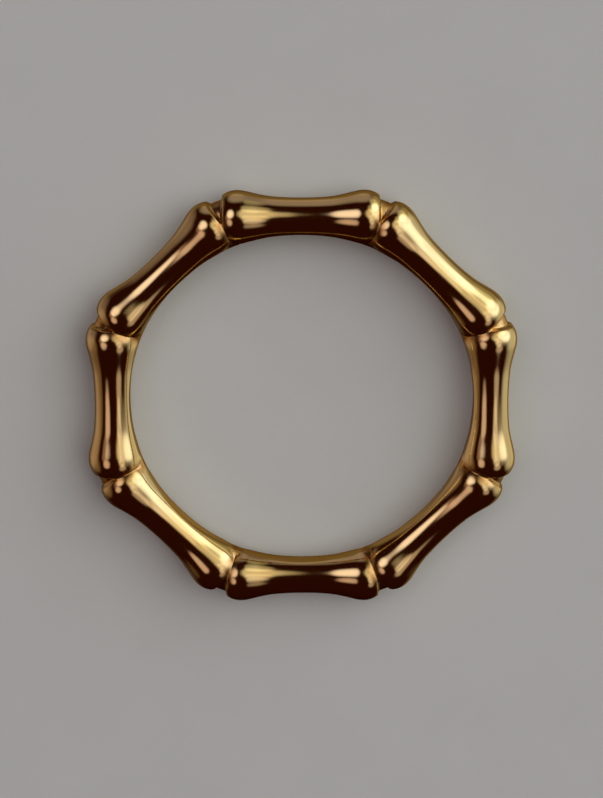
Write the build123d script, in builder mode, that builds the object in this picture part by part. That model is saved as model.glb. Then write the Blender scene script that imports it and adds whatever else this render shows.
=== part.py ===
"""Stackable bamboo ring: eight round canes, waisted in the middle and beaded at the ends, joined end to end by
short necks and bored through for the finger. The finger's axis is Z and one cane's middle is on +Y."""
import os
from math import cos, radians, sin

from build123d import *

# Driving dimensions
bore_diameter = 17.3  # US ring size 7
cane_count = 8
waist_diameter = 1.92
bead_diameter = 2.68
waist_outer_diameter = 20.9
neck_outer_diameter = 22.2
neck_width, neck_height = 2.47, 1.8

# A cane's outline: distances back from its joint, and radii about its own axis
waist_radius = waist_diameter / 2
bead_radius = bead_diameter / 2
bead_setback = 0.74
flare_setback, flare_radius, flare_slope = 1.13, bead_radius - 0.035, 0.22
swell_share, swell_radius, swell_slope = 0.44, waist_radius + 0.06, 0.09
end_setback, end_radius = 0.03, 1.09

bore_radius = bore_diameter / 2
axis_radius = waist_outer_diameter / 2 - waist_radius
joint_radius = axis_radius / cos(radians(180 / cane_count))
half_length = joint_radius * sin(radians(180 / cane_count))
bead_reach = half_length - bead_setback
neck_axis_radius = (neck_outer_diameter - neck_width) / 2
neck_angle = 13.4

with BuildPart() as cane:            # along X, over the origin
    with BuildSketch(Plane.XY):
        with BuildLine():
            stem = Spline((0, waist_radius), (swell_share * bead_reach, swell_radius),
                          (half_length - flare_setback, flare_radius), (bead_reach, bead_radius),
                          tangents=[(1, 0), (1, swell_slope), (1, flare_slope), (1, 0)])
            dome = TangentArc(stem @ 1, (half_length - end_setback, end_radius), tangent=(1, 0))
            Polyline(dome @ 1, (half_length - end_setback, 0), (0, 0), stem @ 0)
        make_face()
    revolve(axis=Axis.X)
    mirror(about=Plane.YZ)

with BuildPart() as neck:            # bent about the finger's axis, its middle on +X
    with BuildSketch(Plane.XZ.rotated((0, 0, -neck_angle / 2))):
        with Locations((neck_axis_radius, 0)):
            Ellipse(neck_width / 2, neck_height / 2)
    revolve(axis=Axis.Z, revolution_arc=neck_angle)

with BuildPart() as band:
    with PolarLocations(axis_radius, cane_count, start_angle=90):
        add(cane.part, rotation=(0, 0, 90))
    with PolarLocations(0, cane_count, start_angle=180 / cane_count):
        add(neck.part)
    Hole(bore_radius)

band.part.label = "bamboo_band"
os.makedirs("parts", exist_ok=True)
export_step(band.part, "parts/bamboo_band.step")
print("size", [round(v, 4) for v in band.part.bounding_box().size], "volume", round(band.part.volume, 2))
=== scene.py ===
"""Bamboo stacking ring, laid out as a Blender add-on: a polished gold band cast as eight bamboo canes.

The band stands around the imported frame's bamboo_band node, which it replaces. Sizes are in metres, the
finger's axis is Z, and the middle of one cane is on +Y.
"""

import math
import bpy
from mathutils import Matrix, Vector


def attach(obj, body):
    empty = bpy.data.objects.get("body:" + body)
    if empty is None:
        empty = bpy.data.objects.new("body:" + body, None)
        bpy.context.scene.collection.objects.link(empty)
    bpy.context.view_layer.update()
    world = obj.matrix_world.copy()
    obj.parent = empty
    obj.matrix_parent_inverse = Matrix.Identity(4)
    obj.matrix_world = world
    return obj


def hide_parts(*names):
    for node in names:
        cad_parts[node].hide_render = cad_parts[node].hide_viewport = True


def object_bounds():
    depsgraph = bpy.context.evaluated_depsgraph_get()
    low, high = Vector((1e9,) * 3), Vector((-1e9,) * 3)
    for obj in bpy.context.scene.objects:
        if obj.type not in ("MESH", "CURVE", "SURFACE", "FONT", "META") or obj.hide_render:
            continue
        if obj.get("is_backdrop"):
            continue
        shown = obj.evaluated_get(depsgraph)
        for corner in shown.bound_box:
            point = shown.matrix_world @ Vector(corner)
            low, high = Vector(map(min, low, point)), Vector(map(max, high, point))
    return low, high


bl_info = {
    "name": "Bamboo Stacking Ring",
    "version": (1, 0, 0),
    "blender": (4, 5, 0),
    "location": "View3D > Sidebar > Bamboo Ring",
    "description": "Builds a polished gold bamboo stacking ring with its floor, light and camera",
    "category": "Add Mesh",
}

import bmesh
import bpy
from bpy.props import FloatProperty, FloatVectorProperty, IntProperty, PointerProperty
from mathutils import Matrix, Vector, noise

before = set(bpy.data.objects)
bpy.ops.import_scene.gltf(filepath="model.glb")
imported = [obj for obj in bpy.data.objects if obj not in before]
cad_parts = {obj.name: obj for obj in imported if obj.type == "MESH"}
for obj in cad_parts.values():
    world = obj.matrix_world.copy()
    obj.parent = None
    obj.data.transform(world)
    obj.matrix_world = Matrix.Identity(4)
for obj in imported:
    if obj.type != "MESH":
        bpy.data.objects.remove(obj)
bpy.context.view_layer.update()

MM = 0.001


# ---------------------------------------------------------------------------------------------------------
# Settings
# ---------------------------------------------------------------------------------------------------------

def length_property(name, description, default_mm, least_mm=0.0, most_mm=100.0):
    """A length in the sidebar, given here in millimetres and kept in metres."""
    return FloatProperty(name=name, description=description, default=default_mm * MM, min=least_mm * MM,
                         max=most_mm * MM, precision=5, subtype="DISTANCE", unit="LENGTH")


def colour_property(name, description, default):
    return FloatVectorProperty(name=name, description=description, default=default, size=3, min=0.0, max=1.0,
                               subtype="COLOR")


class BambooBandSettings(bpy.types.PropertyGroup):
    """Sizes of the bamboo band"""
    bore_diameter: length_property("Bore", "Inside diameter of the ring, its finger size", 17.3, 15.0, 22.0)
    cane_count: IntProperty(name="Canes", description="How many canes go round the finger", default=8, min=6,
                            max=12)
    waist_diameter: length_property("Waist", "Thickness of a cane at its middle", 1.92, 1.0, 4.0)
    bead_diameter: length_property("Bead", "Thickness of the beads at a cane's ends", 2.68, 1.2, 5.0)
    neck_width: length_property("Neck Width", "Width of the neck between two canes, towards the finger", 2.47,
                                1.0, 5.0)
    neck_height: length_property("Neck Height", "Thickness of the neck along the finger", 1.8, 1.0, 5.0)
    waist_outer_diameter: length_property("Across Waists", "Outside size from waist to waist", 20.9, 17.0,
                                          30.0)
    neck_outer_diameter: length_property("Across Necks", "Outside size from neck to neck", 22.2, 17.0, 30.0)
    bore_easing: length_property("Bore Easing", "How softly the bore's rims are rounded over", 0.1, 0.01, 0.4)
    polish_wander: length_property("Polish Wander", "How far hand polishing has eaten into the canes", 0.012,
                                   0.0, 0.1)


class GoldSettings(bpy.types.PropertyGroup):
    """Colours and polish of the gold"""
    gold: colour_property("Gold", "Colour of the polished gold plating", (0.95, 0.72, 0.31))
    rose: colour_property("Rubbed Gold", "Warmer gold where the plating is rubbed", (0.92, 0.65, 0.25))
    # Painted shade: a darker orange-brown gold painted into the hollows between the beads, standing in for
    # shade and for gold mirrored in gold
    hollow_and_shade: colour_property("Hollow", "Toned gold left between the beads", (0.62, 0.31, 0.08))
    polish: FloatProperty(name="Polish", description="Roughness of the polished gold", default=0.10, min=0.0,
                          max=1.0, subtype="FACTOR")
    hollow_polish: FloatProperty(name="Hollow Polish", description="Roughness where the wheel can't reach",
                                 default=0.24, min=0.0, max=1.0, subtype="FACTOR")


class RingStageSettings(bpy.types.PropertyGroup):
    """Floor, lights and camera"""
    floor: colour_property("Floor", "Colour of the floor", (0.565, 0.58, 0.535))
    camera_distance: length_property("Camera Distance", "From the lens to the middle of the ring", 150.0,
                                     60.0, 1000.0)
    lens: FloatProperty(name="Lens", description="Focal length in millimetres", default=134.0, min=20.0,
                        max=300.0)


# ---------------------------------------------------------------------------------------------------------
# The bamboo band
# ---------------------------------------------------------------------------------------------------------

# A cane's outline in mm, as setbacks from its joint with the next one
BEAD_SETBACK = 0.74
FLARE_SETBACK, FLARE_DROP, FLARE_SLOPE = 1.13, 0.035, 0.22  # the drop is from the bead
SWELL_SHARE, SWELL_RISE, SWELL_SLOPE = 0.44, 0.06, 0.09     # share of the way to the bead, rise from waist
END_SETBACK, END_RADIUS = 0.03, 1.09
NECK_BLEND = 0.045                                          # the soft corner between bead and neck
NECK_REACH = math.radians(6.7)                              # how far the neck counts either side of the joint
END_TAPER = 8                                               # how steeply the cane closes past its end
HOLLOW_EDGES = 0.08, 0.46                                   # mm from the joint plane: all hollow, all cane

# How the mesh is laid over that outline
STEM_STATIONS, FAN_STATIONS = 26, 16
STEM_CROWDING = 1.45                                        # above 1 draws the stations towards the bead
OUTER_POINTS, BORE_POINTS = 88, 24
RIM_CROWDING = 0.4 * math.pi                                # draws the points towards the bore's rims
FIRST_DEPTH, DEPTH_STEP, LAST_DEPTH = 0.3, 0.04, 2.6        # mm from a section's middle, to find its outline
OUTLINE_HALVINGS, RIM_HALVINGS = 22, 24
GRAZING = 0.05                                              # below this cosine the bore's wall isn't met

TO_MM = 1000
TO_RADIUS_MM = TO_MM / 2                                    # metres across to mm from the middle


class CaneShape:
    """One cane lying along X at the top of the ring, with half of the neck past its end. All in mm."""

    def __init__(self, band):
        self.half_turn = math.pi / band.cane_count
        self.bore = TO_RADIUS_MM * band.bore_diameter
        waist = TO_RADIUS_MM * band.waist_diameter
        self.bead = TO_RADIUS_MM * band.bead_diameter
        self.axis = TO_RADIUS_MM * band.waist_outer_diameter - waist
        half_length = self.axis * math.tan(self.half_turn)
        self.bead_reach = half_length - BEAD_SETBACK
        self.end_reach = half_length - END_SETBACK
        self.neck_width, self.neck_height = TO_RADIUS_MM * band.neck_width, TO_RADIUS_MM * band.neck_height
        self.neck_axis = TO_RADIUS_MM * band.neck_outer_diameter - self.neck_width
        self.easing = TO_MM * band.bore_easing
        self.outline = [                                    # reach, radius, slope
            (0.0, waist, 0.0),
            (SWELL_SHARE * self.bead_reach, waist + SWELL_RISE, SWELL_SLOPE),
            (half_length - FLARE_SETBACK, self.bead - FLARE_DROP, FLARE_SLOPE),
            (self.bead_reach, self.bead, 0.0),
        ]
        run, drop = self.end_reach - self.bead_reach, self.bead - END_RADIUS
        self.dome = (run * run + drop * drop) / (2 * drop)

    def radius(self, reach):
        """The cane's radius at a distance along it from its middle."""
        reach = abs(reach)
        if reach > self.end_reach:
            return max(0.0, END_RADIUS - END_TAPER * (reach - self.end_reach))
        if reach > self.bead_reach:
            past = reach - self.bead_reach
            return self.bead - self.dome + math.sqrt(self.dome ** 2 - past ** 2)
        for (a, ra, ma), (b, rb, mb) in zip(self.outline, self.outline[1:]):
            if reach <= b:
                h = b - a
                t = (reach - a) / h
                return ((2 * t - 3) * t * t + 1) * ra + ((t - 2) * t + 1) * t * h * ma \
                    + (3 - 2 * t) * t * t * rb + (t - 1) * t * t * h * mb
        return self.bead

    def depth(self, x, y, z):
        """Distance outside the cane and its neck: below zero in the metal."""
        cane = math.hypot(y - self.axis, z) - self.radius(x)
        if math.atan2(x, y) < self.half_turn - NECK_REACH:
            return cane
        out = (math.hypot(x, y) - self.neck_axis) / self.neck_width
        neck = (math.hypot(out, z / self.neck_height) - 1) * self.neck_height
        return soft_least(cane, neck, NECK_BLEND)

    def stations(self):
        """Section planes from the cane's middle to the joint with the next one: x, y and lean of each.
        Past the bead's crest they fan round a point just inside the bore."""
        planes = []
        for i in range(STEM_STATIONS):
            planes.append((self.bead_reach * (1 - (1 - i / STEM_STATIONS) ** STEM_CROWDING), 0.0, 0.0))
        pivot = self.bead_reach / math.tan(self.half_turn)
        for i in range(FAN_STATIONS + 1):
            planes.append((self.bead_reach, pivot, self.half_turn * i / FAN_STATIONS))
        return planes

    def section(self, x, y, lean):
        """The closed outline in one section plane: OUTER_POINTS steps round the outside from one rim of the
        bore to the other, then BORE_POINTS steps back across the bore's wall."""
        across, along = math.cos(lean), math.sin(lean)
        start = (self.axis - y) / across
        middle = x * along + y * across
        wall = -middle + math.sqrt(middle * middle - (x * x + y * y - self.bore ** 2))

        def metal(angle):
            c, s = math.cos(angle), math.sin(angle)

            def outside(t):
                q = start + t * c
                return self.depth(x + q * along, y + q * across, t * s) > 0

            low = high = FIRST_DEPTH
            while not outside(high) and high < LAST_DEPTH:
                low, high = high, high + DEPTH_STEP
            for _ in range(OUTLINE_HALVINGS):
                t = (low + high) / 2
                low, high = (low, t) if outside(t) else (t, high)
            return (low + high) / 2

        def to_wall(angle):
            c = -math.cos(angle)
            return (start - wall) / c if c > GRAZING else math.inf

        low, high = math.pi / 2, math.pi                    # the angle of the bore's rim
        for _ in range(RIM_HALVINGS):
            angle = (low + high) / 2
            low, high = (low, angle) if to_wall(angle) < metal(angle) else (angle, high)
        rim = (low + high) / 2
        angles = []
        for i in range(OUTER_POINTS + 1):
            v = 2 * i / OUTER_POINTS - 1
            angles.append(rim * math.sin(RIM_CROWDING * v) / math.sin(RIM_CROWDING))
        for i in range(1, BORE_POINTS):
            v = 0.5 - 0.5 * math.cos(math.pi * i / BORE_POINTS)
            angles.append(rim + (2 * math.pi - 2 * rim) * v)
        loop = []
        for angle in angles:
            t = metal(angle)
            limit = to_wall(angle)
            if limit < math.inf:
                t = soft_least(t, limit, self.easing)
            q = start + t * math.cos(angle)
            loop.append(Vector((x + q * along, y + q * across, t * math.sin(angle))))
        return loop


def soft_least(a, b, width):
    """The smaller of two values, rounded over where they cross."""
    h = min(1.0, max(0.0, 0.5 + 0.5 * (b - a) / width))
    return b + (a - b) * h - width * h * (1 - h)


def smooth_step(low, high, value):
    t = min(1.0, max(0.0, (value - low) / (high - low)))
    return t * t * (3 - 2 * t)


def hollow_amount(shape, point):
    """How far a point lies in the hollow at its cane's joint, out of a polishing wheel's reach: 0 to 1. There
    the gold is rougher and is painted darker as shade.
    """
    to_joint = point.y * math.sin(shape.half_turn) - abs(point.x) * math.cos(shape.half_turn)
    return 1 - smooth_step(*HOLLOW_EDGES, to_joint)


def build_band(settings):
    """The whole band's mesh: half a cane, mirrored and turned round the finger."""
    shape = CaneShape(settings)
    half = [shape.section(*plane) for plane in shape.stations()]
    mirrored = [[Vector((-p.x, p.y, p.z)) for p in loop] for loop in half[:0:-1]]
    mesh = bmesh.new()
    # Each point's share of the hollow at the joints, where the gold gets painted shade and a rougher polish
    hollow_and_shade = mesh.verts.layers.float.new("hollow_and_shade")
    rows = []
    for turn in range(settings.cane_count):
        spin = Matrix.Rotation(-turn * 2 * shape.half_turn, 3, "Z")
        for loop in mirrored + half[:-1]:
            row = []
            for point in loop:
                vert = mesh.verts.new(spin @ point * MM)
                vert[hollow_and_shade] = hollow_amount(shape, point)
                row.append(vert)
            rows.append(row)
    for row, following in zip(rows, rows[1:] + rows[:1]):
        for i, vert in enumerate(row):
            j = (i + 1) % len(row)
            mesh.faces.new((vert, row[j], following[j], following[i])).smooth = True
    mesh.normal_update()
    wander(mesh, settings.polish_wander)
    data = bpy.data.meshes.new("polished_bamboo_band")
    mesh.to_mesh(data)
    mesh.free()
    return data


# Hand polishing, in shares of its full depth, with waves in noise cells per mm
USUAL_WANDER, LEAST_WANDER = 0.55, 0.1
LONG_WAVE, LONG_SHARE = 0.45, 0.35
SHORT_WAVE, SHORT_SHARE = 1.1, 0.3
SHORT_OFFSET = Vector((7.0, 3.0, 5.0))


def wander(mesh, depth):
    """Hand polishing leaves long, shallow flats and hollows: each point sinks in by its own amount."""
    moves = []
    for vert in mesh.verts:
        place = vert.co / MM
        long_wave = noise.noise(place * LONG_WAVE)
        short_wave = noise.noise(place * SHORT_WAVE + SHORT_OFFSET)
        amount = USUAL_WANDER + LONG_SHARE * long_wave + SHORT_SHARE * short_wave
        moves.append(vert.normal * depth * min(1.0, max(LEAST_WANDER, amount)))
    for vert, move in zip(mesh.verts, moves):
        vert.co -= move


class Nodes:
    """A shorthand for laying out one material's nodes."""

    def __init__(self, material):
        material.use_nodes = True
        self.tree = material.node_tree
        self.shader = self.tree.nodes["Principled BSDF"]

    def add(self, kind, links=(), **values):
        node = self.tree.nodes.new(kind)
        for name, value in values.items():
            setattr(node, name, value)
        for socket, source in dict(links).items():
            if isinstance(source, bpy.types.NodeSocket):
                self.tree.links.new(source, node.inputs[socket])
            else:
                node.inputs[socket].default_value = source
        return node

    def link(self, source, socket):
        self.tree.links.new(source, self.shader.inputs[socket])


PAINTED_SHADE_GAIN = 1.5                          # how strongly painted shade darkens the hollows, broken up by their speckle
LINE_DULLING = 0.05                      # how much the polishing lines change the roughness


def polished_gold(settings):
    """Mirror-polished gold plating: painted shade in the hollows between the beads, faint cloudy wear and
    fine polishing lines.
    """
    material = bpy.data.materials.new("polished_gold")
    n = Nodes(material)
    n.shader.inputs["Metallic"].default_value = 1.0
    n.shader.inputs["Specular Tint"].default_value = (0.62, 0.46, 0.30, 1)
    place = n.add("ShaderNodeTexCoord").outputs["Object"]
    # The hollow at the joints: painted shade in the colour, a rougher polish in the roughness
    hollow_and_shade = n.add("ShaderNodeAttribute", attribute_name="hollow_and_shade").outputs["Fac"]

    cloud = n.add("ShaderNodeTexNoise", {"Vector": place, "Scale": 420.0, "Detail": 3.0, "Roughness": 0.55})
    worn = n.add("ShaderNodeMapRange", {"Value": cloud.outputs["Fac"], "From Min": 0.42, "From Max": 0.72})
    gold = n.add("ShaderNodeMix", {0: worn.outputs[0], 6: (*settings.gold, 1), 7: (*settings.rose, 1)},
                 data_type="RGBA")
    speckle = n.add("ShaderNodeTexNoise", {"Vector": place, "Scale": 2600.0, "Detail": 2.0})
    # Painted shade: the hollows are painted a darker orange-brown gold, broken up by speckle
    speckled_shade = n.add("ShaderNodeMath", {0: hollow_and_shade, 1: speckle.outputs["Fac"]}, operation="MULTIPLY")
    painted_shade = n.add("ShaderNodeMath", {0: speckled_shade.outputs[0], 1: PAINTED_SHADE_GAIN}, operation="MULTIPLY",
                  use_clamp=True)
    colour = n.add("ShaderNodeMix", {0: painted_shade.outputs[0], 6: gold.outputs[2], 7: (*settings.hollow_and_shade, 1)},
                   data_type="RGBA")
    n.link(colour.outputs[2], "Base Color")

    grain = n.add("ShaderNodeMapping", {"Vector": place, "Scale": (1.0, 1.0, 9.0)})
    lines = n.add("ShaderNodeTexNoise", {"Vector": grain.outputs[0], "Scale": 3200.0, "Detail": 4.0,
                                         "Roughness": 0.6})
    finest = settings.polish - LINE_DULLING / 2
    dull = n.add("ShaderNodeMath", {0: lines.outputs["Fac"], 1: LINE_DULLING, 2: finest},
                 operation="MULTIPLY_ADD")
    matt = n.add("ShaderNodeMix", {0: hollow_and_shade, 2: dull.outputs[0], 3: settings.hollow_polish})
    n.link(matt.outputs[0], "Roughness")

    swell = n.add("ShaderNodeTexNoise", {"Vector": place, "Scale": 700.0, "Detail": 1.0})
    swell_bump = n.add("ShaderNodeBump", {"Height": swell.outputs["Fac"], "Distance": 0.000012,
                                          "Strength": 0.6})
    line_bump = n.add("ShaderNodeBump", {"Height": lines.outputs["Fac"], "Distance": 0.0000012,
                                         "Strength": 0.5, "Normal": swell_bump.outputs[0]})
    n.link(line_bump.outputs[0], "Normal")
    return material


class RING_OT_bamboo_band(bpy.types.Operator):
    """Build the gold band of bamboo canes"""
    bl_idname = "bamboo_ring.band"
    bl_label = "Bamboo Band"

    def execute(self, context):
        scene = context.scene
        data = build_band(scene.bamboo_band)
        data.materials.append(polished_gold(scene.ring_gold))
        band = bpy.data.objects.new("gold_bamboo_band", data)
        scene.collection.objects.link(band)
        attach(band, "root")
        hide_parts("bamboo_band")
        return {"FINISHED"}


# ---------------------------------------------------------------------------------------------------------
# The stage
# ---------------------------------------------------------------------------------------------------------

CAMERA_TILT = (18.1, -0.2, 0.2)          # degrees about X, Y and Z that turn the ring's axes to the camera's


def camera_axes():
    """The camera's right, up and backward directions, as a matrix's columns."""
    about_x, about_y, about_z = (Matrix.Rotation(math.radians(tilt), 3, axis)
                                 for tilt, axis in zip(CAMERA_TILT, "XYZ"))
    return (about_x @ about_y @ about_z).transposed()


# Soft lights in the room round the ring, chosen so that the gold looks as it does in the photograph. Right
# and up are degrees from the line to the camera, as the camera sees them. Core and rim are the degrees from a
# patch's middle where it starts to fade and is gone, and the last is its radiance. The last three are there
# in place of the floor, which the gold doesn't mirror.
ROOM_PATCHES = (
    # right, up, core, rim, colour
    (60, 20, 12, 37, (1.02, 1.10, 1.38)),          # the brightest, on the right
    (48, 40, 5, 22, (0.46, 0.52, 0.52)),           # beside it, further up
    (61, -6, 6, 27, (0.28, 0.27, 0.29)),           # beside it, further down
    (106, 2, 12, 42, (0.48, 0.50, 0.52)),          # far right
    (46, 59, 4, 24, (0.38, 0.38, 0.30)),           # upper right
    (70, 70, 8, 28, (0.25, 0.23, 0.15)),           # far upper right
    (-6, 88, 12, 34, (0.24, 0.21, 0.24)),          # far up
    (-30, 9, 5, 23, (1.05, 0.95, 1.20)),           # the brightest on the left
    (-44, -6, 3, 16, (0.22, 0.15, 0.15)),          # beside it, further left
    (-35, -28, 4, 18, (0.58, 0.44, 0.50)),         # lower left
    (22, 9, 7, 26, (0.62, 0.57, 0.50)),            # right of the camera
    (28, 32, 4, 20, (0.34, 0.32, 0.26)),           # beside it, further up
    (27, -10, 4, 18, (0.28, 0.25, 0.25)),          # beside it, further down
    (34, -22, 6, 18, (0.54, 0.49, 0.51)),          # lower right
    (38, -43, 3, 18, (0.38, 0.32, 0.34)),          # lower right, further down
    (-106, 24, 14, 42, (0.16, 0.13, 0.14)),        # far left
    (-98, -24, 12, 34, (0.14, 0.10, 0.07)),        # far left, further down
    (0, 138, 14, 46, (0.15, 0.12, 0.07)),          # under the ring, further up
    (-142, 14, 10, 42, (0.11, 0.11, 0.14)),        # under the ring, on the left
    (148, 6, 8, 38, (0.24, 0.22, 0.17)),           # under the ring, on the right
)
DIM_ROOM = (0.018, 0.003, 0.0)           # radiance all over, which the patches add to


def towards_camera(right, up):
    """The direction in the ring's axes that lies so many degrees right of and above the camera's."""
    angle = math.radians(math.hypot(right, up))
    across = Vector((right, up, 0)).normalized() * math.sin(angle)
    return camera_axes() @ Vector((across.x, across.y, math.cos(angle)))


def lit_room():
    """A dim room with softly lit patches, which the gold mirrors."""
    room = bpy.data.worlds.new("lit_room")
    room.use_nodes = True
    tree = room.node_tree
    place = tree.nodes.new("ShaderNodeTexCoord")
    total = None
    for right, up, core, rim, colour in ROOM_PATCHES:
        facing = tree.nodes.new("ShaderNodeVectorMath")
        facing.operation = "DOT_PRODUCT"
        facing.inputs[1].default_value = towards_camera(right, up)
        tree.links.new(place.outputs["Generated"], facing.inputs[0])
        fade = tree.nodes.new("ShaderNodeMapRange")
        fade.interpolation_type = "SMOOTHSTEP"
        fade.inputs["From Min"].default_value = math.cos(math.radians(rim))
        fade.inputs["From Max"].default_value = math.cos(math.radians(core))
        tree.links.new(facing.outputs["Value"], fade.inputs["Value"])
        patch = tree.nodes.new("ShaderNodeVectorMath")
        patch.operation = "MULTIPLY_ADD"
        patch.inputs[1].default_value = colour
        patch.inputs[2].default_value = DIM_ROOM
        tree.links.new(fade.outputs["Result"], patch.inputs[0])
        if total is not None:
            tree.links.new(total, patch.inputs[2])
        total = patch.outputs["Vector"]
    tree.links.new(total, tree.nodes["Background"].inputs["Color"])
    return room


# The soft box over the floor: where it hangs, its size in metres and its brightness, which is its radiance
# divided by pi
OVERHEAD = dict(right=24, up=12, distance=0.60, size=0.90, brightness=0.27, colour=(1.0, 1.0, 1.0))


def overhead_soft_box():
    """Lights the floor. The gold mirrors neither the box nor the floor, only the room and itself."""
    light = bpy.data.lights.new("overhead_soft_box", "AREA")
    light.shape = "SQUARE"
    light.size = OVERHEAD["size"]
    light.energy = OVERHEAD["brightness"] * math.pi ** 2 * OVERHEAD["size"] ** 2
    light.color = OVERHEAD["colour"]
    box = bpy.data.objects.new("overhead_soft_box", light)
    towards = towards_camera(OVERHEAD["right"], OVERHEAD["up"])
    box.location = towards * OVERHEAD["distance"]
    box.rotation_euler = towards.to_track_quat("Z", "Y").to_euler()
    box.visible_camera = False
    box.visible_glossy = False
    bpy.context.scene.collection.objects.link(box)


FLOOR_REACH = 2.0                        # metres from the ring to the floor's edges
FLOOR_MOTTLE = 0.03                      # how far the floor's shade strays either way


def pale_floor(colour):
    material = bpy.data.materials.new("pale_floor")
    n = Nodes(material)
    place = n.add("ShaderNodeTexCoord").outputs["Object"]
    mottle = n.add("ShaderNodeTexNoise", {"Vector": place, "Scale": 260.0, "Detail": 4.0})
    darker = (*(c * (1 - FLOOR_MOTTLE) for c in colour), 1)
    lighter = (*(min(1, c * (1 + FLOOR_MOTTLE)) for c in colour), 1)
    shade = n.add("ShaderNodeMix", {0: mottle.outputs["Fac"], 6: darker, 7: lighter}, data_type="RGBA")
    n.link(shade.outputs[2], "Base Color")
    n.shader.inputs["Roughness"].default_value = 0.7
    n.shader.inputs["Specular IOR Level"].default_value = 0.3
    return material


class RING_OT_stage(bpy.types.Operator):
    """Lay the floor, hang the soft box, light the room and set up the camera"""
    bl_idname = "bamboo_ring.stage"
    bl_label = "Stage"

    def execute(self, context):
        scene = context.scene
        settings = scene.ring_stage
        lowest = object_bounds()[0].z
        grid = bmesh.new()
        bmesh.ops.create_grid(grid, x_segments=1, y_segments=1, size=FLOOR_REACH)
        data = bpy.data.meshes.new("floor")
        grid.to_mesh(data)
        grid.free()
        data.materials.append(pale_floor(settings.floor))
        floor = bpy.data.objects.new("floor", data)
        floor.location.z = lowest
        floor.visible_glossy = False
        scene.collection.objects.link(floor)
        floor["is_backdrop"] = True

        overhead_soft_box()
        scene.world = lit_room()

        lens = bpy.data.cameras.new("camera")
        lens.lens = settings.lens
        lens.sensor_width = 36.0
        lens.clip_start = 0.005
        lens.clip_end = 10.0
        camera = bpy.data.objects.new("camera", lens)
        axes = camera_axes()
        away = axes @ Vector((0, 0, settings.camera_distance))
        camera.matrix_world = Matrix.Translation(away) @ axes.to_4x4()
        scene.collection.objects.link(camera)
        scene.camera = camera
        scene.view_settings.view_transform = "Standard"
        return {"FINISHED"}


# ---------------------------------------------------------------------------------------------------------
# The sidebar
# ---------------------------------------------------------------------------------------------------------

class RING_PT_bamboo_ring(bpy.types.Panel):
    """Bamboo ring tools"""
    bl_label = "Bamboo Ring"
    bl_idname = "RING_PT_bamboo_ring"
    bl_space_type = "VIEW_3D"
    bl_region_type = "UI"
    bl_category = "Bamboo Ring"

    def draw(self, context):
        scene = context.scene
        for title, settings, operator in (("Band", scene.bamboo_band, RING_OT_bamboo_band),
                                          ("Gold", scene.ring_gold, None),
                                          ("Stage", scene.ring_stage, RING_OT_stage)):
            box = self.layout.box()
            box.label(text=title)
            for name in settings.__annotations__:
                box.prop(settings, name)
            if operator:
                box.operator(operator.bl_idname)


CLASSES = (BambooBandSettings, GoldSettings, RingStageSettings, RING_OT_bamboo_band, RING_OT_stage,
           RING_PT_bamboo_ring)


def register():
    for cls in CLASSES:
        bpy.utils.register_class(cls)
    bpy.types.Scene.bamboo_band = PointerProperty(type=BambooBandSettings)
    bpy.types.Scene.ring_gold = PointerProperty(type=GoldSettings)
    bpy.types.Scene.ring_stage = PointerProperty(type=RingStageSettings)


def unregister():
    del bpy.types.Scene.ring_stage
    del bpy.types.Scene.ring_gold
    del bpy.types.Scene.bamboo_band
    for cls in reversed(CLASSES):
        bpy.utils.unregister_class(cls)


def main():
    register()
    bpy.ops.bamboo_ring.band()
    bpy.ops.bamboo_ring.stage()


if __name__ == "__main__":
    main()
